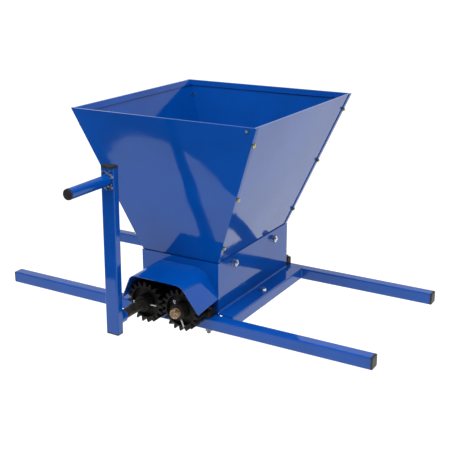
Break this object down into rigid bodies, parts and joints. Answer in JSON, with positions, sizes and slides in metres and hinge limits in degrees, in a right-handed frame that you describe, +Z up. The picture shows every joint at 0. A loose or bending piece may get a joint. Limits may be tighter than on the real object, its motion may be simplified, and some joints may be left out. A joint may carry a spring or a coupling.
{
  "type": "fruit crusher",
  "caption": "Hand-cranked fruit crusher: square sheet hopper over two ribbed rollers geared together, on two long tube rails joined by cross tubes.",
  "frame": {"origin": "Midway between the two rails and midway along them, in the plane of the rails' undersides; below the gap between the rollers.", "axes": "+X along the rails to the driven roller's side, +Y from the gear and crank side to the plain side, +Z up."},
  "size_m": [0.87, 0.657, 0.4415],
  "materials": {
    "blue_paint": "glossy deep blue enamel on steel",
    "black_iron": "satin black coated iron",
    "blackened_steel": "satin black shaft with light rust at its crank end",
    "bare_steel": "turned steel with light rust",
    "cast_aluminium": "cast, satin",
    "zinc_plate": "bright zinc plate",
    "brass_plate": "yellow passivated zinc",
    "black_plastic": "black polythene"
  },
  "bodies": {
    "frame": {"bearing_block_front_left": "black_iron", "bearing_block_front_right": "black_iron", "bearing_block_rear_left": "black_iron", "bearing_block_rear_right": "black_iron", "bearing_bolts": "black_iron", "bearing_nuts": "zinc_plate", "front_rail": "blue_paint", "front_rail_cap_left": "black_plastic", "front_rail_cap_right": "black_plastic", "gear_guard": "blue_paint", "hopper_front_panel": "blue_paint", "hopper_left_panel": "blue_paint", "hopper_mount_bolts": "zinc_plate", "hopper_mount_nuts": "zinc_plate", "hopper_mount_washers": "zinc_plate", "hopper_rear_panel": "blue_paint", "hopper_right_panel": "blue_paint", "hopper_rim_nut": "brass_plate", "hopper_rim_screw": "brass_plate", "hopper_seam_nuts": "brass_plate", "hopper_seam_screws": "brass_plate", "housing_foot_bolts": "zinc_plate", "housing_foot_nuts": "zinc_plate", "housing_foot_washers": "zinc_plate", "housing_front_panel": "blue_paint", "housing_left_panel": "blue_paint", "housing_rear_panel": "blue_paint", "housing_right_panel": "blue_paint", "left_cross_tube": "blue_paint", "rear_rail": "blue_paint", "rear_rail_cap_left": "black_plastic", "rear_rail_cap_right": "black_plastic", "right_cross_tube": "blue_paint"},
    "drive": {"drive_shaft": "blackened_steel", "drive_roller": "cast_aluminium", "drive_roller_pins": "zinc_plate", "drive_gear": "black_iron", "drive_gear_pin": "zinc_plate", "crank_arm": "blue_paint", "crank_arm_top_cap": "black_plastic", "crank_arm_bottom_cap": "black_plastic", "crank_socket": "blue_paint", "crank_set_screw": "zinc_plate", "crank_handle": "blue_paint", "crank_handle_cap": "black_plastic"},
    "driven": {"driven_shaft": "bare_steel", "driven_roller": "cast_aluminium", "driven_roller_pins": "zinc_plate", "driven_gear": "black_iron", "driven_gear_pin": "zinc_plate"}
  },
  "joints": [
    {"name": "drive_spin", "type": "hinge", "parent": "frame", "child": "drive", "pos_m": [-0.0425, 0, 0.0465], "axis": [0, 1, 0], "continuous": true},
    {"name": "driven_spin", "type": "hinge", "parent": "frame", "child": "driven", "pos_m": [0.0425, 0, 0.0465], "axis": [0, 1, 0], "continuous": true}
  ],
  "couplings": [
    {"joint": "driven_spin", "follows": "drive_spin", "ratio": -1}
  ]
}
